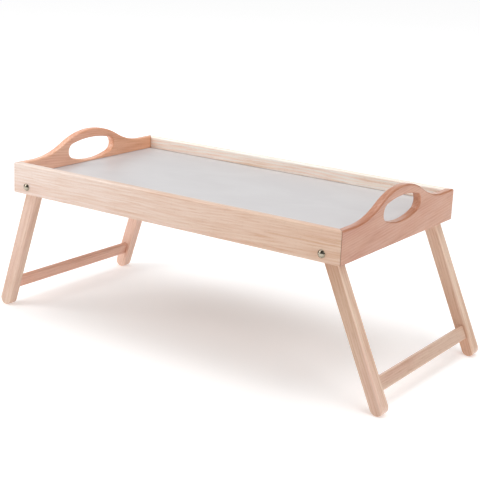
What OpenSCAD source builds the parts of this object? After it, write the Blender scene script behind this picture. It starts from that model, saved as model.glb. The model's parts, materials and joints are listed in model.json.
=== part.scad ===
// Folding bed tray: a mitred wooden tray with two handles, on two folding leg frames.
// X runs along the tray, Y towards its back, Z up. The feet stand on Z = 0, and the
// origin is the middle of the rectangle that the whole table covers from above.

/* [Tray] */
// Length of the tray over its end panels
tray_length = 530; // [500:1:600]
// Width of the tray over its long rails
tray_width = 300; // [290:1:340]
// Thickness of the long rails and of the end panels
wall = 11; // [10:0.5:13]
// Height of the long rails
rail_height = 42.5; // [40:0.5:48]
// Top face of the board, measured from the underside of the rails
board_level = 24.5; // [24:0.5:28]
// Thickness of the faced board
board_thick = 3.2; // [3:0.1:4]
// Depth of the groove that holds the board's edges
groove_depth = 5; // [4:0.5:6]

/* [Handles] */
// Height of the handle's crown above the rails
crown_rise = 30.2; // [27:0.2:33]
// Half of the crown's length, out to where it meets the level edge
crown_half = 118; // [108:1:122]
// Where the crown's curve turns hollow, as a share of that half length
crown_turn = 0.49; // [0.44:0.01:0.56]
// Wood left between the handle hole and the top of the crown
grip_depth = 12.9; // [12:0.1:15]
// Lowest point of the handle hole, measured from the underside of the rails
hole_level = 27; // [27:0.5:30]
// Radius of the handle hole's round ends
hole_end_radius = 11; // [9:0.5:12]
// Radius of the arc that forms the handle hole's upper edge
hole_top_radius = 170; // [140:5:200]
// Radius of the sagging arc that forms the handle hole's lower edge
hole_low_radius = 130; // [110:5:160]

/* [Leg frames] */
// Width of a leg, and the diameter of its round ends
leg_width = 18.6; // [16:0.2:19.2]
// Thickness of a leg
leg_thick = 15; // [12:0.5:17]
// Lean of the opened left legs from upright, in degrees
left_splay = 18; // [14:0.5:26]
// Lean of the opened right legs from upright, in degrees
right_splay = 24; // [14:0.5:26]
// Height of the rails' underside above the floor
underside_height = 178; // [160:1:190]
// Height of the pivot bolts above the underside of the rails
pivot_height = 10.4; // [10:0.1:10.8]
// Height of a stretcher
stretcher_height = 18.5; // [14:0.5:22]
// Thickness of a stretcher
stretcher_thick = 7.5; // [6:0.5:9]
// From the tip of a foot to the lower edge of its stretcher
stretcher_lift = 25; // [22:1:40]
// Length of the tenon at each end of a stretcher
tenon_length = 8; // [6:0.5:10]

/* [Hardware] */
// Diameter of the pivot bolts
bolt_diameter = 5; // [4:0.5:5]
// Diameter of the domed bolt heads
head_diameter = 10.4; // [9:0.2:12]
// Height of the domed bolt heads
head_height = 3; // [2.4:0.1:3.4]
// Thickness of the spacer washer between rail and leg
spacer_thick = 1.7; // [1:0.1:2.4]
// Thickness of the washer under the lock nut
nut_washer_thick = 1; // [0.8:0.1:1.6]
// Height of one corner wedge
wedge_height = 10; // [7:1:13]

/* [Hidden] */
$fn = 120;
play = 0.3;            // open gap between a leg and what it moves past
running_gap = 0.05;    // round a bolt's shank in the leg that turns on it
seat_gap = 0.02;       // round a piece that is held tight in its slot
board_gap = 0.3;       // between the board's edge and the bottom of its groove
tenon_step = 1;        // shoulder all round a tenon
thread_out = 1.4;      // bolt left showing past its nut
shank = bolt_diameter / 2;
nut_across = 8;        // lock nut, across its flats
nut_height = 4;
nut_collar = 1.2;      // plain collar round the lock nut's insert
nut_shoulder = 0.4;    // how far the collar stays inside the nut's flats
end_overrun = 0.02;    // round ends of the handle hole, past its upper and lower arcs
washer_radius = 5;
spacer_radius = 6.5;
neck_depth = 3;        // square neck of a coach bolt, under its head
head_rim = 0.6;        // upright edge of the domed head
washer_gap = 0.2;      // round the shank in a washer
edge_round = 3;        // upper edges of a stretcher
wedge_wing = 5;        // each wing of a corner wedge, along its wall
wedge_thick = 0.8;
leg_radius = leg_width / 2;
half_length = tray_length / 2;
half_width = tray_width / 2;

// Crown of the end panels: a round top that runs into two hollow arcs.
turn_at = crown_half * crown_turn;
arc_sum = (pow(crown_half, 2) + pow(crown_rise, 2)) / (2 * crown_rise);
crown_radius = arc_sum * crown_turn;
hollow_radius = arc_sum - crown_radius;
crown_centre = rail_height + crown_rise - crown_radius;
turn_level = crown_centre + sqrt(pow(crown_radius, 2) - pow(turn_at, 2));

// Handle hole: two shallow arcs, one above and one below, meet its round ends. The
// centres of those ends are where the two arcs, drawn in by the end radius, cross.
hole_top_centre = rail_height + crown_rise - grip_depth - hole_top_radius;
hole_low_centre = hole_level + hole_low_radius;
hole_centres_apart = hole_low_centre - hole_top_centre;
hole_top_inner = hole_top_radius - hole_end_radius;
hole_low_inner = hole_low_radius - hole_end_radius;
hole_end_rise = (pow(hole_centres_apart, 2) + pow(hole_top_inner, 2) - pow(hole_low_inner, 2))
                / (2 * hole_centres_apart);
hole_end_level = hole_top_centre + hole_end_rise;
hole_end_at = sqrt(pow(hole_top_inner, 2) - pow(hole_end_rise, 2));

// Legs, by side: -1 is the left frame, 1 the right one. An opened leg leans on the
// lower inside edge of its end panel, which sets how far in its pivot bolt sits.
function splay(side) = side < 0 ? left_splay : right_splay;
function pivot_inset(side) = wall + play + pivot_height * tan(splay(side))
                             + leg_radius / cos(splay(side));
function pivot_at(side) = side * (half_length - pivot_inset(side));
function reach(side) = (pivot_height + underside_height - leg_radius) / cos(splay(side));
function foot_end(side) = pivot_at(side)
                          + side * (reach(side) * sin(splay(side)) + leg_radius);
tray_shift = -(foot_end(-1) + foot_end(1)) / 2;
leg_face = half_width - wall - spacer_thick - play;    // outer face of a leg, in Y
leg_back = leg_face - leg_thick;                       // its inner face
nut_face = leg_back - play - nut_washer_thick;         // the lock nut's seat
bolt_end = nut_face - nut_height - nut_collar - thread_out;

// ---- placing ----

// From the tray's own frame, at the middle of its underside, to the whole table's.
module in_tray() {
    translate([tray_shift, 0, underside_height]) children();
}

// Front is the side of -Y; the back is its mirror image.
module on_face(front) {
    if (front)
        children();
    else
        mirror([0, 1, 0]) children();
}

// Lying along the pivot axis of one bolt, with local Z pointing out of the front rail.
module on_pivot(side, front) {
    in_tray()
        on_face(front)
            translate([pivot_at(side), 0, pivot_height])
                rotate([90, 0, 0])
                    children();
}

// In an opened leg: the pivot at the origin, and the foot straight below it.
module in_leg(side, front) {
    in_tray()
        on_face(front)
            translate([pivot_at(side), 0, pivot_height])
                rotate([0, -side * splay(side), 0])
                    children();
}

// ---- tray ----

// The right side as drawn, or its mirror image on the left.
module on_side(side) {
    if (side > 0)
        children();
    else
        mirror([1, 0, 0]) children();
}

// Upright prism along the front edge of a rectangle, mitred at both ends.
module mitred_bar(length, breadth, height) {
    linear_extrude(height)
        polygon([
            [-length / 2, -breadth / 2],
            [length / 2, -breadth / 2],
            [length / 2 - wall, -breadth / 2 + wall],
            [-length / 2 + wall, -breadth / 2 + wall]]);
}

// The board, or with its clearances the grooves that hold it.
module board_slab(edge_gap, face_gap) {
    lost = 2 * (wall - groove_depth + board_gap - edge_gap);
    translate([0, 0, board_level - board_thick / 2])
        cube([tray_length - lost, tray_width - lost, board_thick + 2 * face_gap],
             center = true);
}

// The steel wedge that pulls a mitre together: two wings in a V, one in each wall.
module wedge_slug(side, front, gap) {
    inset = (wall - wedge_thick) / 2;
    on_face(front)
        on_side(side)
            translate([half_length - inset + gap, -half_width + inset - gap, -gap])
                linear_extrude(wedge_height + 2 * gap)
                    union() {
                        translate([-wedge_wing - 2 * gap, 0])
                            square([wedge_wing + 2 * gap, wedge_thick + 2 * gap]);
                        translate([-wedge_thick - 2 * gap, 0])
                            square([wedge_thick + 2 * gap, wedge_wing + 2 * gap]);
                    }
}

module wedge_slots() {
    for (side = [-1, 1], front = [true, false])
        wedge_slug(side, front, seat_gap);
}

// Bolt holes through a rail, each with the square seat that stops its bolt turning.
module bolt_holes() {
    for (side = [-1, 1])
        translate([pivot_at(side), -half_width, pivot_height]) {
            translate([0, -1, 0])
                rotate([-90, 0, 0])
                    cylinder(h = wall + 2, r = shank + seat_gap);
            cube([bolt_diameter + 2 * seat_gap, 2 * neck_depth,
                  bolt_diameter + 2 * seat_gap], center = true);
        }
}

module rail(front) {
    in_tray()
        difference() {
            on_face(front) mitred_bar(tray_length, tray_width, rail_height);
            board_slab(board_gap, seat_gap);
            wedge_slots();
            on_face(front) bolt_holes();
        }
}

// Outline of an end panel, with the tray's width along X and its height along Y.
module panel_outline() {
    square([tray_width, 2 * rail_height], center = true);
    difference() {
        translate([-crown_half, 0]) square([2 * crown_half, turn_level]);
        for (end = [-1, 1])
            translate([end * crown_half, rail_height + hollow_radius])
                circle(r = hollow_radius);
    }
    intersection() {
        translate([0, crown_centre]) circle(r = crown_radius);
        translate([-turn_at, 0]) square([2 * turn_at, rail_height + crown_rise]);
    }
}

// The handle hole: its round ends lie between the sagging lower edge and the top arc,
// and overrun both a little, so that the curves cross instead of only touching.
module hole_outline() {
    top_spread = hole_end_at / hole_end_rise;
    low_spread = hole_end_at / (hole_low_centre - hole_end_level);
    out = 2 * hole_end_radius;
    intersection() {
        translate([0, hole_top_centre]) circle(r = hole_top_radius);
        translate([0, hole_low_centre]) circle(r = hole_low_radius);
        polygon([
            [-hole_end_at, hole_end_level],
            [-hole_end_at - low_spread * out, hole_end_level - out],
            [hole_end_at + low_spread * out, hole_end_level - out],
            [hole_end_at, hole_end_level],
            [hole_end_at + top_spread * out, hole_end_level + out],
            [-hole_end_at - top_spread * out, hole_end_level + out]]);
    }
    for (end = [-1, 1])
        translate([end * hole_end_at, hole_end_level])
            circle(r = hole_end_radius + end_overrun);
}

module end_panel(side) {
    in_tray()
        difference() {
            intersection() {
                translate([side * half_length, 0, 0])
                    rotate([90, 0, 90])
                        linear_extrude(4 * wall, center = true)
                            difference() {
                                panel_outline();
                                hole_outline();
                            }
                rotate([0, 0, side * 90])
                    mitred_bar(tray_width, tray_length, rail_height + crown_rise + 1);
            }
            board_slab(board_gap, seat_gap);
            wedge_slots();
        }
}

module front_rail() { color("#ead0be") rail(true); }
module back_rail() { color("#ead0be") rail(false); }
module left_end_panel() { color("#dcb49c") end_panel(-1); }
module right_end_panel() { color("#cfa089") end_panel(1); }
module tray_board() { color("#d9d7d8") in_tray() board_slab(0, 0); }
module corner_wedge(side, front) { color("#8d8f92") in_tray() wedge_slug(side, front, 0); }

// ---- leg frames ----

// Middle of the stretcher and its tenons, in an opened leg.
module at_stretcher(side) {
    translate([0, 0, -reach(side) - leg_radius + stretcher_lift + stretcher_height / 2])
        children();
}

module tenon(side, gap) {
    at_stretcher(side)
        cube([stretcher_thick - 2 * tenon_step + 2 * gap,
              2 * (leg_back + tenon_length + gap),
              stretcher_height - 2 * tenon_step + 2 * gap], center = true);
}

module leg(side, front) {
    color("#e0bda4")
        in_leg(side, front)
            difference() {
                translate([0, -leg_back, 0])
                    rotate([90, 0, 0])
                        linear_extrude(leg_thick)
                            union() {
                                circle(r = leg_radius);
                                translate([-leg_radius, -reach(side)])
                                    square([leg_width, reach(side)]);
                                translate([0, -reach(side)]) circle(r = leg_radius);
                            }
                translate([0, 1 - leg_back, 0])
                    rotate([90, 0, 0])
                        cylinder(h = leg_thick + 2, r = shank + running_gap);
                tenon(side, seat_gap);
            }
}

// Section of a stretcher: square below, with two rounded edges above.
module stretcher_section() {
    translate([-stretcher_thick / 2, -stretcher_height / 2])
        square([stretcher_thick, stretcher_height - edge_round]);
    translate([-stretcher_thick / 2 + edge_round, 0])
        square([stretcher_thick - 2 * edge_round, stretcher_height / 2]);
    for (end = [-1, 1])
        translate([end * (stretcher_thick / 2 - edge_round), stretcher_height / 2 - edge_round])
            circle(r = edge_round);
}

module stretcher(side) {
    color("#d9ae95")
        in_leg(side, true) {
            at_stretcher(side)
                rotate([90, 0, 0])
                    linear_extrude(2 * leg_back, center = true) stretcher_section();
            tenon(side, 0);
        }
}

// ---- pivot hardware, along each bolt ----

// Coach bolt: domed head outside the rail, square neck, and shank through the leg.
module bolt(side, front) {
    dome_height = head_height - head_rim;
    dome_radius = (pow(head_diameter / 2, 2) + pow(dome_height, 2)) / (2 * dome_height);
    color("#b9b4a6")
        on_pivot(side, front) {
            translate([0, 0, half_width]) {
                cylinder(h = head_rim, r = head_diameter / 2);
                intersection() {
                    translate([0, 0, head_height - dome_radius]) sphere(r = dome_radius);
                    cylinder(h = head_height, r = head_diameter / 2);
                }
                translate([0, 0, -neck_depth / 2])
                    cube([bolt_diameter, bolt_diameter, neck_depth], center = true);
            }
            translate([0, 0, bolt_end]) cylinder(h = half_width - bolt_end, r = shank);
        }
}

// Flat ring round a bolt, with its lower face at the given distance along it.
module ring(side, front, start, thick, radius) {
    on_pivot(side, front)
        translate([0, 0, start])
            difference() {
                cylinder(h = thick, r = radius);
                translate([0, 0, -1]) cylinder(h = thick + 2, r = shank + washer_gap);
            }
}

module spacer(side, front) {
    color("#e8e6e0")
        ring(side, front, half_width - wall - spacer_thick, spacer_thick, spacer_radius);
}

module washer(side, front) {
    color("#b9b4a6") ring(side, front, nut_face, nut_washer_thick, washer_radius);
}

// Lock nut: a hexagon with a plain collar round its insert.
module nut(side, front) {
    color("#a8a69f")
        on_pivot(side, front)
            translate([0, 0, nut_face - nut_height - nut_collar])
                difference() {
                    union() {
                        cylinder(h = nut_height + nut_collar, r = nut_across / 2 - nut_shoulder);
                        translate([0, 0, nut_collar])
                            cylinder(h = nut_height, r = nut_across / 2 / cos(30), $fn = 6);
                    }
                    translate([0, 0, -1])
                        cylinder(h = nut_height + nut_collar + 2, r = shank + seat_gap);
                }
}

front_rail();
back_rail();
left_end_panel();
right_end_panel();
tray_board();
leg(-1, true);  // left_front_leg
leg(-1, false);  // left_back_leg
leg(1, true);  // right_front_leg
leg(1, false);  // right_back_leg
stretcher(-1);  // left_stretcher
stretcher(1);  // right_stretcher
bolt(-1, true);  // left_front_bolt
bolt(-1, false);  // left_back_bolt
bolt(1, true);  // right_front_bolt
bolt(1, false);  // right_back_bolt
spacer(-1, true);  // left_front_spacer
spacer(-1, false);  // left_back_spacer
spacer(1, true);  // right_front_spacer
spacer(1, false);  // right_back_spacer
washer(-1, true);  // left_front_washer
washer(-1, false);  // left_back_washer
washer(1, true);  // right_front_washer
washer(1, false);  // right_back_washer
nut(-1, true);  // left_front_nut
nut(-1, false);  // left_back_nut
nut(1, true);  // right_front_nut
nut(1, false);  // right_back_nut
corner_wedge(-1, true);  // left_front_wedge
corner_wedge(-1, false);  // left_back_wedge
corner_wedge(1, true);  // right_front_wedge
corner_wedge(1, false);  // right_back_wedge
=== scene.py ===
"""Folding bed tray: the looks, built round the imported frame.

Every piece but the hidden corner wedges is rebuilt with the soft edges of sanded wood or
turned metal, and rides on the body of the node it stands for. Its points are made in a
local frame of its own, with the grain along X, and each keeps those coordinates in the
attribute "grain" for the materials. Lengths are in metres.
"""
import json
import math

import bmesh
import bpy
from mathutils import Matrix, Vector
from mathutils.geometry import tessellate_polygon


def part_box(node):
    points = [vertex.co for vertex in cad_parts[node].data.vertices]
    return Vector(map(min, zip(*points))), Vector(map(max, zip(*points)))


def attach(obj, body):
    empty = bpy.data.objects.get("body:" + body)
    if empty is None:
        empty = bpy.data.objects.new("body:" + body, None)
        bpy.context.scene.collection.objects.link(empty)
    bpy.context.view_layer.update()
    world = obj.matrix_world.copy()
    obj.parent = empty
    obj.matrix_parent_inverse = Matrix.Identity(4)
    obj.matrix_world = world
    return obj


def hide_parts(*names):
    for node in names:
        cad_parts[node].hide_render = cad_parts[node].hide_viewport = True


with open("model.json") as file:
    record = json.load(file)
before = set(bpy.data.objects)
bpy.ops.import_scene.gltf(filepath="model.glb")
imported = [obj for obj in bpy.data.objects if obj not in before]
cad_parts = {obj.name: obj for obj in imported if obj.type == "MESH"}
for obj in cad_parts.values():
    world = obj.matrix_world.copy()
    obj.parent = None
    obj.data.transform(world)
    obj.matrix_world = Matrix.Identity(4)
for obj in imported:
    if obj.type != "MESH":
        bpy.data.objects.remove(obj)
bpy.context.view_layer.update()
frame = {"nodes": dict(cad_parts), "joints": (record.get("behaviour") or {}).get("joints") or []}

MM = 0.001
SIDES = {"left": -1, "right": 1}
FACES = {"front": -1, "back": 1}
SQUARE = ((-1, -1), (1, -1), (1, 1), (-1, 1))    # corners of a four-sided section

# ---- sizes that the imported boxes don't say ----

CROWN_HALF = 118 * MM       # half length of a handle's crown
CROWN_TURN = 0.49           # share of it where the curve turns hollow
GRIP_DEPTH = 12.9 * MM      # wood above the handle hole
HOLE_LEVEL = 27 * MM        # lowest point of the hole, over the underside
HOLE_END_RADIUS = 11 * MM
HOLE_TOP_RADIUS = 170 * MM
HOLE_LOW_RADIUS = 130 * MM
GROOVE_DEPTH = 5 * MM
GROOVE_PLAY = 0.3 * MM      # room above and below the board in its groove
BORE_RADIUS = 2.55 * MM     # pivot hole through a leg
STRETCHER_HEIGHT = 18.5 * MM
STRETCHER_THICK = 7.5 * MM
STRETCHER_LIFT = 25 * MM    # from the tip of a foot up to the stretcher
TENON_LENGTH = 8 * MM
TENON_STEP = 1 * MM
SEAT_GAP = 0.02 * MM
LEG_WIDTH = 18.6 * MM       # across a leg's broad face
SHANK_RADIUS = 2.5 * MM
HEAD_RIM = 0.6 * MM         # upright edge of a bolt's domed head
NECK_DEPTH = 3 * MM         # square neck under it
THREAD_PITCH = 0.8 * MM
THREAD_DEPTH = 0.35 * MM
PLAIN_SHANK = 8 * MM        # how far past the wall a shank has no thread
RING_BORE = 2.6 * MM        # radius of the hole in washers and spacers
NUT_FLATS = 4 * MM          # half of a nut's width across its flats
NUT_COLLAR = 1.2 * MM       # plain collar of its insert

# ---- soft edges ----

TOP_ROUND = 2.8 * MM        # upper edges of the walls
UNDER_ROUND = 0.7 * MM      # lower edges of the walls
CORNER_ROUND = 1.2 * MM     # upright corners of the tray
HOLE_ROUND = 1.9 * MM       # round the handle holes
LEG_ROUND = 1.5 * MM
STRETCHER_ROUND = 2.2 * MM
SEAM_BREAK = 0.22 * MM      # tiny chamfer along the glued mitres
SEAM_SHADE = 1.1 * MM       # how far the glue line darkens the wood
LIP = 0.25 * MM             # broken edge of the board's groove
BOARD_EDGE = 0.25 * MM      # broken edge of the board
SHOULDER_EDGE = 0.2 * MM    # chamfer round a stretcher's ends
SHOULDER_SHADE = 1.5 * MM   # how far the glue line darkens them
METAL_EDGE = 0.15 * MM      # broken edge of bolts and washers
SPACER_EDGE = 0.25 * MM
NUT_CHAMFER = 0.7 * MM
ROUND_STEPS = 6


def quarter(radius, steps=ROUND_STEPS):
    """(drop, inset, wear) round a quarter circle, from the flat side to the flat top."""
    made = []
    for i in range(steps + 1):
        a = math.pi / 2 * i / steps
        made.append((radius * (1 - math.sin(a)), radius * (1 - math.cos(a)), math.sin(2 * a)))
    return made


# ---- meshes ----

class Skin:
    """Gathers a piece's faces, with how worn and how near a seam each of its points is."""

    def __init__(self):
        self.bm = bmesh.new()
        self.wear = self.bm.verts.layers.float.new("wear")
        self.seam = self.bm.verts.layers.float.new("seam")

    def point(self, place, wear=0.0, seam=0.0):
        v = self.bm.verts.new(place)
        v[self.wear] = wear
        v[self.seam] = seam
        return v

    def face(self, verts):
        if len(set(verts)) > 2:
            self.bm.faces.new(verts)

    def strip(self, one, two, closed=True):
        """Quads between two rows with as many points each."""
        count = len(one)
        for i in range(count if closed else count - 1):
            j = (i + 1) % count
            self.face([one[i], one[j], two[j], two[i]])

    def loft(self, rows, closed=True):
        for one, two in zip(rows, rows[1:]):
            self.strip(one, two, closed)

    def cap(self, loops):
        """A flat face bounded by its first loop, with the other loops as holes."""
        verts = [v for loop in loops for v in loop]
        for tri in tessellate_polygon([[v.co for v in loop] for loop in loops]):
            self.face([verts[i] for i in tri])

    def done(self, node, place, angle=38):
        """The finished piece: welded, smooth on its curves and crisp on its flats."""
        bmesh.ops.remove_doubles(self.bm, verts=self.bm.verts, dist=2e-6)
        bmesh.ops.recalc_face_normals(self.bm, faces=self.bm.faces)
        grain = self.bm.verts.layers.float_vector.new("grain")
        for v in self.bm.verts:
            v[grain] = v.co
        self.bm.transform(place)
        mesh = bpy.data.meshes.new(node + "_shape")
        self.bm.to_mesh(mesh)
        self.bm.free()
        mesh.shade_smooth()
        mesh.set_sharp_from_angle(angle=math.radians(angle))
        piece = bpy.data.objects.new(node + "_shape", mesh)
        bpy.context.collection.objects.link(piece)
        flats = piece.modifiers.new("flats", "WEIGHTED_NORMAL")
        flats.keep_sharp = True
        flats.weight = 90
        return piece


def spin(rows, around=48):
    """A skin turned about local Z. Each row is (radius, height), or (radius, height, wear)."""
    skin = Skin()
    rings = []
    for row in rows:
        radius, height, wear = row if len(row) == 3 else (*row, 0.0)
        ring = []
        for i in range(around):
            a = 2 * math.pi * i / around
            ring.append(skin.point((radius * math.cos(a), radius * math.sin(a), height), wear))
        rings.append(ring)
    skin.loft(rings)
    return skin, rings


def axes(origin, along, across):
    """Local frame with X along, Y as near across as it can be, and Z square to both."""
    x = Vector(along).normalized()
    z = x.cross(Vector(across)).normalized()
    y = z.cross(x)
    turn = Matrix((x, y, z)).transposed().to_4x4()
    return Matrix.Translation(origin) @ turn


# ---- walls of the tray ----

board_low, board_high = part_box("tray_board")
rail_low, rail_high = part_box("front_rail")
TRAY_LENGTH = rail_high.x - rail_low.x
WALL = rail_high.y - rail_low.y
RAIL_HEIGHT = rail_high.z - rail_low.z
UNDERSIDE = rail_low.z
TRAY_MIDDLE = (rail_low.x + rail_high.x) / 2
TRAY_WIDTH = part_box("back_rail")[1].y - rail_low.y
GROOVE_LOW = board_low.z - UNDERSIDE - GROOVE_PLAY
GROOVE_HIGH = board_high.z - UNDERSIDE + GROOVE_PLAY


def wall_section():
    """(depth, height, wear) round a wall: outer face up, over the top, and back down inside."""
    made = []
    for drop, inset, wear in reversed(quarter(UNDER_ROUND, 3)):
        made.append((inset, drop, wear))
    for drop, inset, wear in quarter(TOP_ROUND):
        made.append((inset, RAIL_HEIGHT - drop, wear))
    for drop, inset, wear in reversed(quarter(TOP_ROUND)):
        made.append((WALL - inset, RAIL_HEIGHT - drop, wear))
    floor = WALL - GROOVE_DEPTH
    made += [(WALL, GROOVE_HIGH + LIP, 0.0), (WALL - LIP, GROOVE_HIGH, 0.0)]
    made += [(floor, GROOVE_HIGH, 0.0), (floor, GROOVE_LOW, 0.0)]
    made += [(WALL - LIP, GROOVE_LOW, 0.0), (WALL, GROOVE_LOW - LIP, 0.0)]
    for drop, inset, wear in quarter(UNDER_ROUND, 3):
        made.append((WALL - inset, drop, wear))
    return made


def shrunk(section, by):
    """The section drawn in on every side, for the tiny chamfer at a glued end."""
    made = []
    for depth, height, wear in section:
        inner = min(max(depth, by), WALL - by)
        made.append((inner, min(max(height, by), RAIL_HEIGHT - by), wear))
    return made


def round_corner(place, half):
    """Bends a point of a square upright corner onto the rounded one."""
    u, v = half - abs(place.x), place.y
    if u >= CORNER_ROUND or v >= CORNER_ROUND:
        return place
    q = Vector((CORNER_ROUND - u, CORNER_ROUND - v))
    q *= max(q) / max(q.length, 1e-9)
    return Vector((math.copysign(half - CORNER_ROUND + q.x, place.x), CORNER_ROUND - q.y, place.z))


def mitred_rows(skin, half, side, stop=None):
    """Rows of points from a wall's mitred end inwards, and a last upright one at stop."""
    section = wall_section()
    steps = [0, SEAM_BREAK, 0.3 * CORNER_ROUND, 0.6 * CORNER_ROUND, CORNER_ROUND]
    rows = []
    for step in steps:
        row = []
        drawn = shrunk(section, SEAM_BREAK) if step == 0 else section
        for depth, height, wear in drawn:
            x = side * (half - SEAT_GAP / 2 - depth - step)
            near = max(0.0, 1 - step / SEAM_SHADE)
            place = round_corner(Vector((x, depth, height)), half)
            row.append(skin.point(place, wear, near))
        rows.append(row)
    if stop is not None:
        rows.append([skin.point((side * stop, d, h), w) for d, h, w in section])
    return rows


def rail(node, face):
    """A long side of the tray, from mitre to mitre."""
    skin = Skin()
    half = TRAY_LENGTH / 2
    left = mitred_rows(skin, half, -1)
    right = mitred_rows(skin, half, 1)
    skin.loft(left + right[::-1])
    skin.cap([left[0]])
    skin.cap([right[0]])
    place = axes((TRAY_MIDDLE, face * TRAY_WIDTH / 2, UNDERSIDE), (-face, 0, 0), (0, -face, 0))
    return skin.done(node, place)


def crown_outline(steps=64):
    """(along, height, lean) over a handle's crown, hollow, round and hollow again."""
    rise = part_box("left_end_panel")[1].z - UNDERSIDE - RAIL_HEIGHT
    sweep = (CROWN_HALF ** 2 + rise ** 2) / (2 * rise)
    crown_radius = sweep * CROWN_TURN
    hollow_radius = sweep - crown_radius
    centre = RAIL_HEIGHT + rise - crown_radius
    turn = CROWN_HALF * CROWN_TURN
    made = []
    for i in range(steps + 1):
        x = CROWN_HALF * (2 * i / steps - 1)
        if abs(x) <= turn:
            lean = math.asin(x / crown_radius)
            height = centre + crown_radius * math.cos(lean)
        else:
            lean = math.asin((CROWN_HALF - abs(x)) / hollow_radius)
            height = RAIL_HEIGHT + hollow_radius * (1 - math.cos(lean))
            lean = math.copysign(lean, x)
        made.append((x, height, lean))
    return made, RAIL_HEIGHT + rise


def hole_outline(top, steps=24):
    """(along, height, outward angle) round a handle hole: two shallow arcs and round ends."""
    end = HOLE_END_RADIUS
    high_centre = top - GRIP_DEPTH - HOLE_TOP_RADIUS
    low_centre = HOLE_LEVEL + HOLE_LOW_RADIUS
    apart = low_centre - high_centre
    high, low = HOLE_TOP_RADIUS - end, HOLE_LOW_RADIUS - end
    rise = (apart ** 2 + high ** 2 - low ** 2) / (2 * apart)
    reach = math.sqrt(high ** 2 - rise ** 2)
    level = high_centre + rise
    meet_high = math.atan2(rise, reach)
    meet_low = -math.atan2(low_centre - level, reach)
    arcs = [((reach, level), end, meet_low, meet_high),
            ((0, high_centre), HOLE_TOP_RADIUS, meet_high, math.pi - meet_high),
            ((-reach, level), end, math.pi - meet_high, math.pi - meet_low),
            ((0, low_centre), HOLE_LOW_RADIUS, -math.pi - meet_low, meet_low)]
    made = []
    for (x, z), radius, start, stop in arcs:
        for i in range(steps):
            a = start + (stop - start) * i / steps
            made.append((x + radius * math.cos(a), z + radius * math.sin(a), a))
    return made


def grip_hole(skin, outline):
    """Rows of points through a handle hole, from its loop on the outer face to the inner one."""
    rounds = quarter(HOLE_ROUND)
    stations = [(inset, drop, wear) for drop, inset, wear in rounds]
    stations += [(WALL - inset, drop, wear) for drop, inset, wear in reversed(rounds)]
    rows = []
    for depth, grow, wear in stations:
        row = []
        for x, z, a in outline:
            place = (x + grow * math.cos(a), depth, z + grow * math.sin(a))
            row.append(skin.point(place, wear))
        rows.append(row)
    return rows


def end_panel(node, side):
    """A short side of the tray with its raised, pierced handle."""
    skin = Skin()
    half = TRAY_WIDTH / 2
    section = wall_section()
    crown, top = crown_outline()
    # the low stretches on both sides of the crown, with the mitres
    for end in (-1, 1):
        rows = mitred_rows(skin, half, end, CROWN_HALF)
        skin.loft(rows)
        skin.cap([rows[0]])
    # the crown: the top of the section leans with the outline, and the groove runs straight
    upper = [i for i, p in enumerate(section) if p[1] > GROOVE_HIGH + 2 * LIP]
    top_start, top_end = upper[0], upper[-1]
    rows = []
    for x, height, lean in crown:
        row = []
        for i, (depth, level, wear) in enumerate(section):
            if top_start <= i <= top_end:
                drop = RAIL_HEIGHT - level
                place = (x - drop * math.sin(lean), depth, height - drop * math.cos(lean))
            else:
                place = (x, depth, level)
            row.append(skin.point(place, wear))
        rows.append(row)
    over = [row[top_start:top_end + 1] for row in rows]
    skin.loft(over, closed=False)
    ends = (rows[0], rows[-1])
    under = [row[top_end + 1:] + row[:top_start] for row in ends]
    skin.loft(under, closed=False)
    # the broad faces, pierced by the handle hole
    hole = grip_hole(skin, hole_outline(top))
    skin.loft(hole)
    outer_low, outer_high = top_start - 1, top_start
    outer = [row[outer_high] for row in rows]
    skin.cap([[ends[0][outer_low], *outer, ends[1][outer_low]], hole[0]])
    inner_high, inner_low = top_end, top_end + 1
    inner = [row[inner_high] for row in rows]
    skin.cap([[ends[0][inner_low], *inner, ends[1][inner_low]], hole[-1]])
    where = (TRAY_MIDDLE + side * TRAY_LENGTH / 2, 0, UNDERSIDE)
    return skin.done(node, axes(where, (0, side, 0), (-side, 0, 0)))


def board(node):
    """The board that is let into the grooves, with broken edges."""
    skin = Skin()
    middle = (board_low + board_high) / 2
    size = (board_high - board_low) / 2
    edge = BOARD_EDGE
    rows = []
    for inset, z in ((edge, -size.z), (0, -size.z + edge), (0, size.z - edge), (edge, size.z)):
        x, y = size.x - inset, size.y - inset
        rows.append([skin.point((a * x, b * y, z)) for a, b in SQUARE])
    skin.loft(rows)
    skin.cap([rows[0]])
    skin.cap([rows[-1]])
    return skin.done(node, Matrix.Translation(middle))


# ---- leg frames ----

def leg_frame(side_name):
    """(pivot, direction down the legs, reach from the pivot to the foot, leg half width)."""
    side = SIDES[side_name]
    joint = next(j for j in frame["joints"] if j["name"] == f"{side_name}_legs_fold")
    pivot = Vector(joint["pos_m"])
    low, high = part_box(f"{side_name}_front_leg")
    foot = low.x if side < 0 else high.x
    top = high.z
    half = top - pivot.z
    across = abs(foot - pivot.x) - half
    down = pivot.z - half - low.z
    angle = math.atan2(across, down)
    reach = math.hypot(across, down) + half
    return pivot, Vector((side * math.sin(angle), 0, -math.cos(angle))), reach, half


def stadium(length, radius, steps=20):
    """(along, across, outward angle) round a leg: a bar with round ends."""
    made = []
    for i in range(steps + 1):
        a = -math.pi / 2 + math.pi * i / steps
        made.append((length + radius * math.cos(a), radius * math.sin(a), a))
    for i in range(steps + 1):
        a = math.pi / 2 + math.pi * i / steps
        made.append((radius * math.cos(a), radius * math.sin(a), a))
    return made


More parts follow.
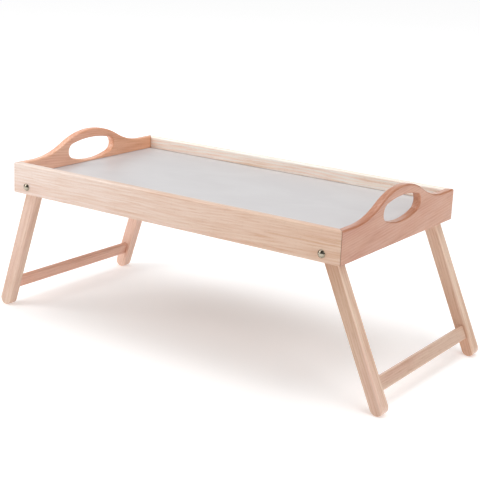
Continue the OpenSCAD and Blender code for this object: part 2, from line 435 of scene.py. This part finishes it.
def mortise(skin, centre, depth, inner):
    """The pocket a stretcher's tenon sits in, and its mouth on the leg's inner face."""
    x = STRETCHER_HEIGHT / 2 - TENON_STEP + SEAT_GAP
    z = STRETCHER_THICK / 2 - TENON_STEP + SEAT_GAP
    rows = []
    for y in (inner, inner - depth):
        rows.append([skin.point((centre + a * x, y, b * z)) for a, b in SQUARE])
    skin.loft(rows)
    skin.cap([rows[1]])
    return rows[0]


def leg(node, side_name, face_name):
    """A leg, round at both ends, bored for its pivot and mortised for the stretcher."""
    face = FACES[face_name]
    pivot, down, reach, half = leg_frame(side_name)
    low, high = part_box(node)
    thick = high.y - low.y
    outer = low.y if face < 0 else high.y
    skin = Skin()
    rows = []
    rounds = quarter(LEG_ROUND)
    stations = [(inset, drop, wear) for drop, inset, wear in rounds]
    stations += [(thick - inset, drop, wear) for drop, inset, wear in reversed(rounds)]
    for depth, shrink, wear in stations:
        row = []
        for x, z, a in stadium(reach - half, half):
            place = (x - shrink * math.cos(a), depth, z - shrink * math.sin(a))
            row.append(skin.point(place, wear))
        rows.append(row)
    skin.loft(rows)
    bore = []
    around = 24
    for y in (0, thick):
        ring = []
        for i in range(around):
            a = 2 * math.pi * i / around
            ring.append(skin.point((BORE_RADIUS * math.cos(a), y, BORE_RADIUS * math.sin(a))))
        bore.append(ring)
    skin.loft(bore)
    skin.cap([rows[0], bore[0]])
    centre = reach - STRETCHER_LIFT - STRETCHER_HEIGHT / 2
    mouth = mortise(skin, centre, TENON_LENGTH + SEAT_GAP, thick)
    skin.cap([rows[-1], bore[1], mouth])
    place = axes((pivot.x, outer, pivot.z), down, (0, -face, 0))
    return skin.done(node, place)


def stretcher(node, side_name):
    """The cross bar of a leg frame, rounded all along, with a tenon at each end."""
    pivot, down, reach, _ = leg_frame(side_name)
    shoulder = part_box(f"{side_name}_back_leg")[0].y - SEAT_GAP
    tip = shoulder + TENON_LENGTH
    x, z = STRETCHER_HEIGHT / 2, STRETCHER_THICK / 2
    section = []
    for sx, sz in ((1, 1), (-1, 1), (-1, -1), (1, -1)):
        turn = quarter(STRETCHER_ROUND)
        if sx * sz < 0:
            turn = turn[::-1]
        for drop, inset, wear in turn:
            section.append((sx * (x - inset), sz * (z - drop), wear))
    skin = Skin()
    rows = []
    chamfer = SHOULDER_EDGE
    for end, sign in ((shoulder, -1), (shoulder, 1)):
        ring = [(-end, 1.0, chamfer), (-end + chamfer, 0.6, 0), (-end + SHOULDER_SHADE, 0.0, 0)]
        if sign > 0:
            ring = [(-y, seam, inset) for y, seam, inset in reversed(ring)]
        for y, seam, inset in ring:
            grow_x, grow_z = 1 - inset / x, 1 - inset / z
            rows.append([skin.point((y, a * grow_x, b * grow_z), w, seam) for a, b, w in section])
    skin.loft(rows)
    tenon_x, tenon_z = x - TENON_STEP, z - TENON_STEP
    for sign, row in ((-1, rows[0]), (1, rows[-1])):
        loops = []
        for y in (shoulder, tip):
            loops.append([skin.point((sign * y, a * tenon_x, b * tenon_z)) for a, b in SQUARE])
        skin.loft(loops)
        skin.cap([row, loops[0]])
        skin.cap([loops[1]])
    middle = pivot + down * (reach - STRETCHER_LIFT - STRETCHER_HEIGHT / 2)
    place = axes((middle.x, 0, middle.z), (0, 1, 0), down)
    return skin.done(node, place)


# ---- pivots ----

def outward(side_name, face_name, y):
    """Local frame on a pivot with Z pointing out of the tray, at the depth y."""
    pivot = leg_frame(side_name)[0]
    return axes((pivot.x, y, pivot.z), (1, 0, 0), (0, 0, -FACES[face_name]))


def depths(node, face_name):
    """(inner, outer) ends of a node along its pivot, as distances from the tray's middle."""
    low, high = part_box(node)
    return (-high.y, -low.y) if FACES[face_name] < 0 else (low.y, high.y)


def bolt(node, side_name, face_name):
    """A coach bolt: domed head with a thin rim, square neck and threaded shank."""
    inner, outer = depths(node, face_name)
    low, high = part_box(node)
    radius = (high.x - low.x) / 2
    dome = outer - TRAY_WIDTH / 2
    edge = METAL_EDGE
    shank = SHANK_RADIUS
    curve = ((radius - edge) ** 2 + (dome - HEAD_RIM) ** 2) / (2 * (dome - HEAD_RIM))
    head = [(shank, 0), (radius - edge, 0), (radius, edge)]
    head += [(radius, HEAD_RIM - edge), (radius - edge, HEAD_RIM)]
    reach = math.asin((radius - edge) / curve)
    steps = 15
    for i in range(1, steps):
        a = reach * (1 - i / steps)
        head.append((curve * math.sin(a), dome - curve * (1 - math.cos(a))))
    head.append((0.0, dome))
    level, stop = inner - TRAY_WIDTH / 2, -WALL - PLAIN_SHANK
    thread = [(0.0, level), (shank - 2 * THREAD_DEPTH, level)]
    while level + THREAD_PITCH < stop:
        thread.append((shank - THREAD_DEPTH, level + 0.1 * THREAD_PITCH))
        thread.append((shank, level + 0.5 * THREAD_PITCH))
        level += THREAD_PITCH
    thread.append((shank, stop))
    skin, _ = spin(thread + head)
    neck = []
    for level in (-NECK_DEPTH, 0):
        neck.append([skin.point((x * shank, y * shank, level)) for x, y in SQUARE])
    skin.loft(neck)
    skin.cap([neck[0]])
    place = outward(side_name, face_name, FACES[face_name] * TRAY_WIDTH / 2)
    return skin.done(node, place, 50)


def ring(node, side_name, face_name, edge):
    """A flat round ring, such as a washer or a spacer, with soft rims."""
    inner, outer = depths(node, face_name)
    low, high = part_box(node)
    radius = (high.x - low.x) / 2
    deep = outer - inner
    bore = RING_BORE
    rows = [(bore + edge, 0), (radius - edge, 0), (radius, edge, 1), (radius, deep - edge, 1)]
    rows += [(radius - edge, deep), (bore + edge, deep), (bore, deep - edge), (bore, edge)]
    skin, rings = spin(rows)
    skin.strip(rings[-1], rings[0])
    place = outward(side_name, face_name, FACES[face_name] * inner)
    return skin.done(node, place)


def nut(node, side_name, face_name):
    """A lock nut: chamfered hexagon with the plain collar of its insert."""
    inner, outer = depths(node, face_name)
    collar, deep = NUT_COLLAR, outer - inner
    bore = SHANK_RADIUS
    chamfer = NUT_CHAMFER
    edge = 0.3 * MM             # chamfer of the thread's mouths
    inset = 0.4 * MM            # collar, inside the flats
    corner = 0.62 * MM          # corners, past the flats
    stations = [(edge, bore, 0), (0, bore + edge, 0), (0, NUT_FLATS - 2 * inset, 0)]
    stations += [(inset, NUT_FLATS - inset, 0), (collar, NUT_FLATS - inset, 0)]
    stations += [(collar, NUT_FLATS, 0)]
    steps = 4
    for i in range(1, steps + 1):
        stations.append((collar + chamfer * i / steps, NUT_FLATS + corner * i / steps, 1))
    for i in range(steps, -1, -1):
        stations.append((deep - chamfer * i / steps, NUT_FLATS + corner * i / steps, 1))
    stations += [(deep, bore + edge, 0), (deep - edge, bore, 0)]
    skin = Skin()
    rows = []
    around = 72
    for level, radius, hexagonal in stations:
        row = []
        for i in range(around):
            a = 2 * math.pi * i / around
            face_angle = (a + math.pi / 6) % (math.pi / 3) - math.pi / 6
            r = min(radius, NUT_FLATS / math.cos(face_angle)) if hexagonal else radius
            row.append(skin.point((r * math.cos(a), r * math.sin(a), level)))
        rows.append(row)
    skin.loft(rows)
    skin.strip(rows[-1], rows[0])
    place = outward(side_name, face_name, FACES[face_name] * inner)
    return skin.done(node, place, 25)


# ---- materials ----

class Look:
    """A material under construction."""

    def __init__(self, name):
        self.material = bpy.data.materials.new(name)
        self.material.use_nodes = True
        self.tree = self.material.node_tree
        self.tree.nodes.clear()
        self.shader = self.tree.nodes.new("ShaderNodeBsdfPrincipled")
        output = self.tree.nodes.new("ShaderNodeOutputMaterial")
        self.tree.links.new(self.shader.outputs[0], output.inputs["Surface"])
        self.climb = 0.0

    def put(self, socket, value):
        """Links value to the socket if it comes from a node, and sets it otherwise."""
        if isinstance(value, bpy.types.NodeSocket):
            self.tree.links.new(value, socket)
        else:
            socket.default_value = value

    def set(self, **values):
        for name, value in values.items():
            self.put(self.shader.inputs[name.replace("_", " ")], value)

    def node(self, kind, inputs=(), output=0, **settings):
        made = self.tree.nodes.new("ShaderNode" + kind)
        for name, value in settings.items():
            setattr(made, name, value)
        for name, value in dict(inputs).items():
            self.put(made.inputs[name], value)
        return made.outputs[output]

    def place(self, stretch=(1, 1, 1), shift=(0, 0, 0)):
        """The piece's own coordinates, kept on its mesh, moved and then stretched."""
        found = self.node("Attribute", output="Vector", attribute_name="grain")
        if self.climb:
            turn = {"Vector": found, "Angle": self.climb}
            found = self.node("VectorRotate", turn, rotation_type="Y_AXIS")
        moved = self.node("VectorMath", {0: found, 1: shift}, operation="ADD")
        return self.node("VectorMath", {0: moved, 1: stretch}, operation="MULTIPLY")

    def noise(self, vector, scale, detail=2.0, roughness=0.5, distortion=0.0):
        values = {"Vector": vector, "Scale": scale, "Detail": detail}
        values.update({"Roughness": roughness, "Distortion": distortion})
        return self.node("TexNoise", values, "Fac")

    def remap(self, value, low, high, to_low=0.0, to_high=1.0, smooth=True):
        values = {"Value": value, "From Min": low, "From Max": high}
        values.update({"To Min": to_low, "To Max": to_high})
        kind = "SMOOTHSTEP" if smooth else "LINEAR"
        return self.node("MapRange", values, interpolation_type=kind)

    def math(self, operation, one, two=0.0):
        return self.node("Math", {0: one, 1: two}, operation=operation)

    def mix(self, factor, one, two, blend="MIX"):
        """One colour into another. Sockets 6 and 7 are the colour inputs of a Mix node."""
        made = self.tree.nodes.new("ShaderNodeMix")
        made.data_type = "RGBA"
        made.blend_type = blend
        self.put(made.inputs[0], factor)
        self.put(made.inputs[6], one)
        self.put(made.inputs[7], two)
        return made.outputs[2]

    def named(self, attribute):
        return self.node("Attribute", output="Fac", attribute_name=attribute)

    def bump(self, height, distance, strength=1.0, under=None):
        values = {"Height": height, "Distance": distance, "Strength": strength}
        if under is not None:
            values["Normal"] = under
        return self.node("Bump", values)


def linear(*srgb):
    """A linear colour from the 0-255 values of a colour chip."""
    made = []
    for c in srgb:
        c /= 255
        made.append(c / 12.92 if c <= 0.04045 else ((c + 0.055) / 1.055) ** 2.4)
    return (*made, 1.0)


def wood(name, seed, tones, tone_and_light, climb, painted_side_light, gloss=0.42):
    """Lacquered close-grained wood: growth rings, veins, fibres, short pores, rubbed edges.

    The tone is the piece's colour at both of its ends, and where these are: partly its own wood and
    partly painted light and shade. The grain climbs by some degrees across the broad face, and the
    side light is a painted highlight that makes a leg's edge faces paler.
    """
    pale, warm, rose, vein, worn = tones
    look = Look(name)
    look.climb = math.radians(climb)
    shift = (0.37 * seed, 0.019 * (seed % 5) + 0.05, 0.031 + 0.013 * (seed % 7))
    # growth rings round a core off to the side, which sway a little along the piece
    sway = look.noise(look.place((3.0, 9, 9), shift), 1.0, 2.0)
    core = look.place((0.08, 1, 1), shift)
    pull = look.node("VectorMath", {0: core, "Scale": look.remap(sway, 0, 1, 0.90, 1.10, False)},
                     operation="SCALE")
    wave = {"Vector": pull, "Scale": 105.0, "Distortion": 2.2, "Detail": 3.0, "Detail Scale": 1.6}
    rings = look.node("TexWave", wave, "Fac", wave_type="RINGS", rings_direction="X")
    # what lies along the grain, from broad to fine
    cloud = look.noise(look.place((5, 30, 30), shift), 1.0, 3.0, 0.55)
    streak = look.noise(look.place((7, 130, 130), shift), 1.0, 3.0, 0.6)
    fibre = look.noise(look.place((24, 620, 620), shift), 1.0, 4.0, 0.62)
    thread = look.noise(look.place((60, 2400, 2400), shift), 1.0, 2.0, 0.6)
    pores = look.remap(look.noise(look.place((180, 2300, 2300), shift), 1.0, 1.0), 0.64, 0.72)
    strength = look.remap(cloud, 0.35, 0.7, 0.25, 0.80)
    base = look.mix(look.math("MULTIPLY", rings, strength), pale, warm)
    base = look.mix(look.remap(cloud, 0.42, 0.68, 0, 0.55), base, rose)
    base = look.mix(look.remap(streak, 0.48, 0.74, 0, 0.50), base, vein)
    base = look.mix(look.remap(fibre, 0.48, 0.74, 0, 0.55), base, vein)
    base = look.mix(look.remap(thread, 0.25, 0.75, 0.0, 0.14), base, pale)
    base = look.mix(look.math("MULTIPLY", pores, 0.26), base, linear(158, 112, 86))
    rubbed = look.math("MULTIPLY", look.named("wear"), look.remap(fibre, 0.3, 0.7, 0.15, 0.50))
    base = look.mix(rubbed, base, worn)
    # the piece's tone along its grain, partly its own wood and partly painted light and shade
    first, last, start, stop = tone_and_light
    along = look.node("SeparateXYZ", {0: look.place()}, "X")
    shade = look.mix(look.remap(along, start, stop), (*first, 1), (*last, 1))
    # painted light: a leg's edge faces made paler, as a painted highlight where more light falls on
    # them
    if painted_side_light:
        side = look.math("ABSOLUTE", look.node("SeparateXYZ", {0: look.place()}, "Z"))
        edge = look.remap(side, LEG_WIDTH / 2 - 1.4 * MM, LEG_WIDTH / 2 - 0.4 * MM, 0, painted_side_light)
        shade = look.mix(edge, shade, (1.14, 1.20, 1.24, 1))
    base = look.mix(1.0, base, shade, "MULTIPLY")
    # the dark line at a glued joint
    glue = look.math("MULTIPLY", look.named("seam"), 0.62)
    base = look.mix(glue, base, linear(118, 80, 58))
    # lacquer that shows the fibres
    smear = look.noise(look.place((25, 60, 60), shift), 1.0, 3.0)
    rough = look.remap(smear, 0.3, 0.7, gloss - 0.05, gloss + 0.09)
    rough = look.math("ADD", rough, look.math("MULTIPLY", pores, 0.12))
    grain = look.math("ADD", look.math("MULTIPLY", fibre, 0.7), look.math("MULTIPLY", thread, 0.3))
    grain = look.math("SUBTRACT", grain, look.math("MULTIPLY", pores, 0.5))
    relief = look.bump(grain, 0.05 * MM, 0.45)
    look.set(Base_Color=base, Roughness=rough, Normal=relief, Specular_IOR_Level=0.38)
    look.set(Coat_Weight=0.5, Coat_Roughness=0.16)
    return look.material


def melamine(name):
    """Satin coated board: a faint orange peel, dust-fine speckle and rub marks.

    Only the upper face is coated, so below it the bare brown fibre shows.
    """
    look = Look(name)
    peel = look.noise(look.place((1, 1, 1)), 900.0, 2.0)
    speck = look.noise(look.place((1, 1, 1)), 2600.0, 1.0)
    rub = look.noise(look.place((9, 14, 1), (0.3, 0.1, 0)), 1.0, 3.0, 0.6, 0.6)
    tone = look.mix(look.remap(rub, 0.3, 0.7, 0, 0.5), linear(206, 204, 205), linear(202, 199, 200))
    tone = look.mix(look.remap(speck, 0.62, 0.75, 0, 0.16), tone, linear(190, 186, 186))
    height = look.node("SeparateXYZ", {0: look.place()}, "Z")
    fluff = look.noise(look.place((1, 1, 1)), 420.0, 4.0, 0.7)
    brown = look.mix(fluff, linear(122, 86, 60), linear(158, 118, 86))
    under = look.remap(height, 0.9 * MM, 1.3 * MM, 1, 0, False)
    tone = look.mix(under, tone, brown)
    rough = look.remap(rub, 0.3, 0.7, 0.34, 0.43)
    rough = look.math("ADD", rough, look.math("MULTIPLY", under, 0.35))
    look.set(Base_Color=tone, Roughness=rough, Normal=look.bump(peel, 0.03 * MM, 0.35))
    return look.material


def metal(name, colour, deep, rough, scratch):
    """Plated metal with a slight unevenness, hairlines and duller low spots."""
    look = Look(name)
    patch = look.noise(look.place(), 500.0, 3.0)
    hair = look.noise(look.place((400, 6000, 2500)), 1.0, 2.0)
    tone = look.mix(look.remap(patch, 0.35, 0.7), colour, deep)
    shine = look.math("ADD", look.remap(patch, 0.3, 0.7, rough, rough + 0.10),
                      look.math("MULTIPLY", hair, scratch))
    relief = look.bump(patch, 0.02 * MM, 0.3)
    look.set(Base_Color=tone, Metallic=1.0, Roughness=shine, Normal=relief)
    return look.material


def nylon(name):
    """Slightly waxy natural plastic."""
    look = Look(name)
    cloud = look.noise(look.place(), 350.0, 3.0)
    tone = look.mix(cloud, linear(226, 222, 210), linear(206, 201, 188))
    look.set(Base_Color=tone, Roughness=look.remap(cloud, 0.3, 0.7, 0.38, 0.5))
    relief = look.bump(cloud, 0.03 * MM, 0.3)
    look.set(Subsurface_Weight=0.15, Subsurface_Scale=1 * MM, Normal=relief)
    return look.material


# ---- the table, piece by piece ----

def settle(piece, node, body, material):
    """Dresses a piece and lets it stand for its node."""
    piece.data.materials.append(material)
    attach(piece, body)
    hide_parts(node)


RAIL_TONES = [linear(244, 222, 207), linear(228, 190, 158), linear(233, 196, 180),
              linear(212, 158, 116), linear(252, 232, 217)]
PANEL_TONES = [linear(232, 192, 172), linear(212, 160, 126), linear(218, 165, 148),
               linear(194, 130, 96), linear(204, 144, 106)]
LEG_TONES = [linear(236, 206, 184), linear(220, 180, 148), linear(224, 180, 162),
             linear(194, 140, 104), linear(250, 222, 200)]

# Each piece's tone against its kind, at the start and at the end of its grain, partly its own wood
# and partly painted light and shade; how many degrees its grain climbs across its broad face; and
# how much painted light makes its edge faces paler.
PIECE_TONE_AND_LIGHT = {
    "front_rail": ((0.95, 0.98, 1.03), (0.87, 0.77, 0.69), 1, 0),
    "back_rail": ((1.24, 1.40, 1.50), (1.24, 1.40, 1.50), -1, 0),
    "left_end_panel": ((1.12, 0.90, 0.70), (1.32, 1.30, 1.26), 3, 0),
    "right_end_panel": ((0.76, 0.60, 0.51), (0.82, 0.65, 0.54), 6, 0),
    "left_stretcher": ((1.06, 0.87, 0.85), (1.06, 0.87, 0.85), 0, 0),
    "right_stretcher": ((0.95, 0.93, 0.94), (0.95, 0.93, 0.94), 1, 0),
    "left_front_leg": ((0.99, 1.00, 1.03), (0.98, 1.00, 1.03), 1, 0),
    "left_back_leg": ((1.18, 1.18, 1.22), (1.18, 1.18, 1.22), -1, 0),
    "right_front_leg": ((0.73, 0.61, 0.52), (0.97, 0.99, 1.00), -1, 0.8),
    "right_back_leg": ((1.02, 1.00, 0.98), (0.90, 0.76, 0.68), 1, 0.8),
}


def shaded(node, seed, tones, start, stop):
    """The wood of one piece, with its painted light and shade, whose grain runs from start to stop.
    """
    first, last, climb, painted_side_light = PIECE_TONE_AND_LIGHT[node]
    return wood(f"{node}_wood", seed, tones, (first, last, start, stop), climb, painted_side_light)


seed = 3                    # where in the pattern a piece's wood is taken from
half_length, half_width = TRAY_LENGTH / 2, TRAY_WIDTH / 2
for face_name, face in FACES.items():
    node = f"{face_name}_rail"
    look = shaded(node, seed, RAIL_TONES, -half_length, half_length)
    settle(rail(node, face), node, "tray", look)
    seed += 4
for side_name, side in SIDES.items():
    node = f"{side_name}_end_panel"
    look = shaded(node, seed, PANEL_TONES, -half_width, half_width)
    settle(end_panel(node, side), node, "tray", look)
    seed += 4
settle(board("tray_board"), "tray_board", "tray", melamine("board_melamine"))

# the nickel is coloured darker than bright plate, partly as a painted reflection of dark
# surroundings on the bolt domes
nickel = metal("nickel_plate", linear(186, 177, 160), linear(128, 118, 102), 0.09, 0.05)
zinc = metal("zinc_plate", linear(190, 190, 188), linear(160, 160, 158), 0.26, 0.10)
plastic = nylon("spacer_nylon")
for side_name in SIDES:
    frame_body = f"{side_name}_leg_frame"
    reach = leg_frame(side_name)[2]
    node = f"{side_name}_stretcher"
    look = shaded(node, seed, LEG_TONES, -half_width, half_width)
    settle(stretcher(node, side_name), node, frame_body, look)
    seed += 3
    for face_name in FACES:
        corner = f"{side_name}_{face_name}"
        node = f"{corner}_leg"
        look = shaded(node, seed, LEG_TONES, 0, reach)
        settle(leg(node, side_name, face_name), node, frame_body, look)
        seed += 3
        node = f"{corner}_bolt"
        settle(bolt(node, side_name, face_name), node, "tray", nickel)
        node = f"{corner}_spacer"
        spacer = ring(node, side_name, face_name, SPACER_EDGE)
        settle(spacer, node, "tray", plastic)
        node = f"{corner}_washer"
        washer = ring(node, side_name, face_name, METAL_EDGE)
        settle(washer, node, "tray", zinc)
        node = f"{corner}_nut"
        settle(nut(node, side_name, face_name), node, "tray", zinc)
        wedge = frame["nodes"][f"{corner}_wedge"]
        wedge.data.materials.clear()
        wedge.data.materials.append(zinc)


# ---- studio ----

def floor():
    """A pale seamless floor that glows faintly, and more so away from the table."""
    bpy.ops.mesh.primitive_plane_add(size=40, location=(0, 0, 0))
    plane = bpy.context.object
    plane.name = "studio_floor"
    look = Look("studio_floor")
    where = look.node("TexCoord", output="Object")
    tone = look.mix(look.noise(where, 3.0, 2.0), (0.93, 0.93, 0.93, 1), (0.90, 0.90, 0.90, 1))
    look.set(Base_Color=tone, Roughness=0.9, Specular_IOR_Level=0.1)
    away = look.node("VectorMath", {0: where}, "Value", operation="LENGTH")
    glow = look.remap(away, 0.7, 2.4, 0.32, 0.85)
    look.set(Emission_Color=(1, 1, 1, 1), Emission_Strength=glow)
    plane.data.materials.append(look.material)


def lamp(name, place, aim, size, power):
    """A soft rectangular light."""
    data = bpy.data.lights.new(name, "AREA")
    data.shape = "RECTANGLE"
    data.size, data.size_y = size
    data.energy = power
    lit = bpy.data.objects.new(name, data)
    lit.location = place
    lit.rotation_euler = (Vector(aim) - Vector(place)).to_track_quat("-Z", "Y").to_euler()
    bpy.context.collection.objects.link(lit)


def camera(azimuth, elevation, roll, distance, aim, lens):
    """The photo's camera: azimuth from the front towards the right, then a roll, in degrees."""
    a, e, r = (math.radians(v) for v in (azimuth, elevation, roll))
    back = Vector((math.sin(a) * math.cos(e), -math.cos(a) * math.cos(e), math.sin(e)))
    side = Vector((0, 0, 1)).cross(back).normalized()
    top = back.cross(side)
    up = top * math.cos(r) + side * math.sin(r)
    right = up.cross(back)
    data = bpy.data.cameras.new("camera")
    data.lens = lens
    data.sensor_width = 36
    made = bpy.data.objects.new("camera", data)
    turn = Matrix((right, up, back)).transposed().to_4x4()
    made.matrix_world = Matrix.Translation(Vector(aim) + back * distance) @ turn
    bpy.context.collection.objects.link(made)
    bpy.context.scene.camera = made


def sky(strength):
    """An even white surround."""
    world = bpy.data.worlds.new("studio")
    bpy.context.scene.world = world
    world.use_nodes = True
    shade = world.node_tree.nodes["Background"]
    shade.inputs["Color"].default_value = (1, 1, 1, 1)
    shade.inputs["Strength"].default_value = strength


floor()
sky(0.12)
lamp("key", (-1.1, -1.0, 0.9), (-0.2, 0, 0.15), (0.8, 0.8), 8.8)
lamp("left", (-1.0, -0.3, 1.8), (0, 0, 0.15), (1.4, 1.4), 7.5)
lamp("right", (2.0, -0.6, 1.6), (0, 0, 0.15), (1.4, 1.4), 16)
lamp("top", (0.3, 0.3, 2.6), (0, 0, 0.15), (2.4, 2.0), 40)
lamp("backdrop", (-2.3, 3.3, 1.3), (0, 0, 0.3), (6.0, 2.4), 34)
camera(azimuth=34.33, elevation=15.678, roll=-2.414, distance=1.62955,
       aim=(0.01034, 0, 0.1318), lens=88.17)
bpy.context.scene.view_settings.view_transform = "Standard"
